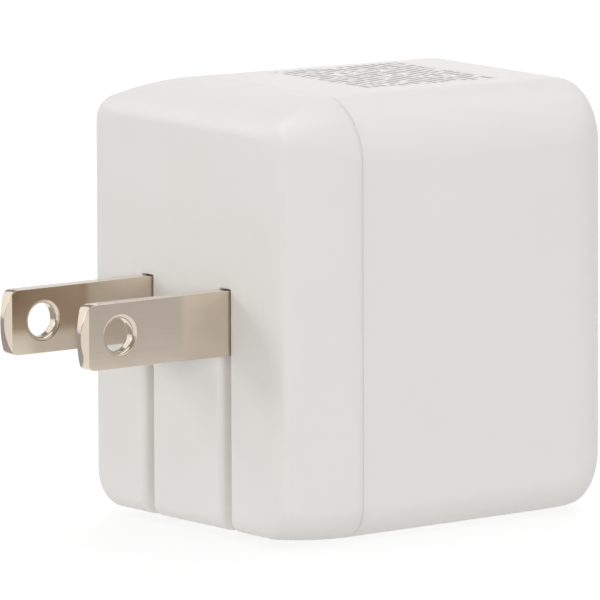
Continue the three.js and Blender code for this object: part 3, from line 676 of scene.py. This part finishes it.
# ---- pieces ---------------------------------------------------------------------------------
finish_piece(front_shell(), "case", ["front_housing"], SHELL_WHITE)
finish_piece(rear_shell(), "case", ["rear_cover"], SHELL_WHITE)
for node, x in BLADE_X.items():
    finish_piece(blade(node + "_fine", x), "plug", [node], NICKEL)

for node, port, steps, lip in (("usb_c_shell", USB_C, 12, 0.08), ("usb_a_shell", USB_A, 6, 0.1)):
    finish_piece(socket_shell(node + "_fine", port, steps, lip), "case", [node], BY_SLOT["steel"])
tongue_c, contacts_c = usb_c_pieces()
tongue_a, contacts_a = usb_a_pieces()
finish_piece(tongue_c, "case", ["usb_c_tongue"], BY_SLOT["dark_plastic"])
finish_piece(tongue_a, "case", ["usb_a_tongue"], BY_SLOT["pale_plastic"])
finish_piece(contacts_c, "case", [], GOLD)
finish_piece(contacts_a, "case", [], GOLD)

# ---- floor, lights and camera ---------------------------------------------------------------
scene = bpy.context.scene
scene.view_settings.view_transform = "Standard"
scene.view_settings.look = "None"

FLOOR_Z = CAD_BOUNDS[0][2]


def glow(name, scale, low, high):
    """A plain emissive grey between low and high, for the boards and walls of the studio."""
    n = Nodes(name)
    tone = n.mix(n.range(n.noise(scale, 2.0), 0.3, 0.7, 0.0, 1.0), (low, low, low), (high, high, high))
    return n.put(
        Base_Color=(0.0, 0.0, 0.0), Roughness=1.0, Specular_IOR_Level=0.0,
        Emission_Color=tone, Emission_Strength=1.0,
    )


def floor():
    """A plain pale floor, bright enough to be the picture's white background."""
    bm = bmesh.new()
    bmesh.ops.create_grid(bm, x_segments=1, y_segments=1, size=20.0)
    obj = new_object("floor", bm)
    obj.location = (0, 0, FLOOR_Z)
    n = Nodes("floor")
    tone = n.mix(n.range(n.noise(4.0, 2.0), 0.3, 0.7, 0.0, 1.0), (0.24, 0.24, 0.24), (0.26, 0.26, 0.26))
    n.put(Base_Color=tone, Roughness=0.8, Specular_IOR_Level=0.1)
    n.shader.inputs["Emission Color"].default_value = (1.0, 1.0, 1.0, 1.0)
    n.shader.inputs["Emission Strength"].default_value = 0.78
    obj.data.materials.append(n.material)
    obj.visible_diffuse = False
    obj.visible_shadow = False


def backdrop():
    """A pale wall round the floor, so that low views show no horizon; only cameras see it."""
    bm = bmesh.new()
    bmesh.ops.create_circle(bm, radius=2.2, segments=96)
    raised = bmesh.ops.extrude_edge_only(bm, edges=bm.edges[:])["geom"]
    bmesh.ops.translate(bm, verts=[v for v in raised if isinstance(v, bmesh.types.BMVert)], vec=(0, 0, 1.5))
    obj = new_object("backdrop", bm)
    obj.location = (0, 0, FLOOR_Z - 0.01)
    obj.data.materials.append(glow("backdrop", 2.0, 0.84, 0.86))
    obj.visible_diffuse = False
    obj.visible_glossy = False
    obj.visible_shadow = False


def area_light(name, position, size, power, colour=(1.0, 1.0, 1.0)):
    """A soft rectangular light that faces the origin."""
    light = bpy.data.lights.new(name, "AREA")
    light.shape = "RECTANGLE"
    light.size, light.size_y = size
    light.energy = power
    light.color = colour
    obj = bpy.data.objects.new(name, light)
    obj.location = position
    obj.rotation_euler = (-Vector(position)).to_track_quat("-Z", "Y").to_euler()
    scene.collection.objects.link(obj)


floor()
backdrop()
world = bpy.data.worlds.new("studio")
world.use_nodes = True
tree = world.node_tree
background = tree.nodes["Background"]
split = tree.nodes.new("ShaderNodeSeparateXYZ")
tree.links.new(tree.nodes.new("ShaderNodeTexCoord").outputs["Generated"], split.inputs[0])
ramp = tree.nodes.new("ShaderNodeMapRange")
ramp.interpolation_type = "SMOOTHSTEP"
for key, number in zip(RANGE_KEYS, (0.10, 0.45, 0.52, 0.33)):
    ramp.inputs[key].default_value = number
tree.links.new(split.outputs[2], ramp.inputs["Value"])
tree.links.new(ramp.outputs[0], background.inputs[1])
background.inputs[0].default_value = (1.0, 0.99, 0.98, 1.0)
scene.world = world

area_light("top_light", (0.0, -0.10, 0.9), (1.0, 1.0), 4.1, (0.985, 0.99, 1.02))
area_light("key_light", (0.54, 0.63, 0.31), (0.30, 0.30), 1.2)
area_light("front_light", (-0.62, 0.68, 0.14), (0.60, 0.30), 2.15, (1.0, 0.98, 0.96))
area_light("back_light", (0.62, -0.62, 0.25), (0.45, 0.45), 3.3, (1.0, 0.98, 0.96))
area_light("side_light", (-0.78, -0.44, 0.25), (0.6, 0.6), 1.2)
for name in ("front_light", "back_light"):
    bpy.data.objects[name].visible_glossy = False


def grey_card(name, position, half_size, grey, target=(0.0, 0.0, 0.0)):
    """A plain grey board that only mirrors see, so that the blades reflect a studio, not the floor."""
    bm = bmesh.new()
    bmesh.ops.create_grid(bm, x_segments=1, y_segments=1, size=half_size)
    obj = new_object(name, bm)
    obj.location = position
    obj.rotation_euler = (Vector(target) - Vector(position)).to_track_quat("Z", "Y").to_euler()
    obj.data.materials.append(glow(name, 20.0, grey, grey + 0.03))
    obj.visible_camera = False
    obj.visible_diffuse = False
    obj.visible_shadow = False


grey_card("grey_card", (-0.095, -0.062, -0.01), 0.05, 0.54)
grey_card("floor_card", (0.17, 0.16, -0.019), 0.15, 0.42, target=(0.17, 0.16, 1.0))
grey_card("upper_card", (0.25, 0.12, 0.12), 0.13, 1.15)
grey_card("rear_card", (0.26, -0.19, 0.055), 0.06, 0.85)

AZIMUTH, ELEVATION, ROLL = math.radians(233.163), math.radians(8.364), math.radians(-0.195)
back = Vector((
    math.sin(AZIMUTH) * math.cos(ELEVATION),
    -math.cos(AZIMUTH) * math.cos(ELEVATION),
    math.sin(ELEVATION),
))
level = Vector((math.cos(AZIMUTH), math.sin(AZIMUTH), 0.0))
rise = back.cross(level)
across = math.cos(ROLL) * level + math.sin(ROLL) * rise
upward = -math.sin(ROLL) * level + math.cos(ROLL) * rise
camera = bpy.data.objects.new("camera", bpy.data.cameras.new("camera"))
camera.data.sensor_width = 36.0
camera.data.lens = 630.0
camera.data.clip_start = 0.05
camera.data.clip_end = 60.0
position = (1019.11 * back + 11.072 * across + 1.425 * upward) * MM
camera.matrix_world = Matrix((
    (across.x, upward.x, back.x, position.x),
    (across.y, upward.y, back.y, position.y),
    (across.z, upward.z, back.z, position.z),
    (0.0, 0.0, 0.0, 1.0),
))
scene.collection.objects.link(camera)
scene.camera = camera
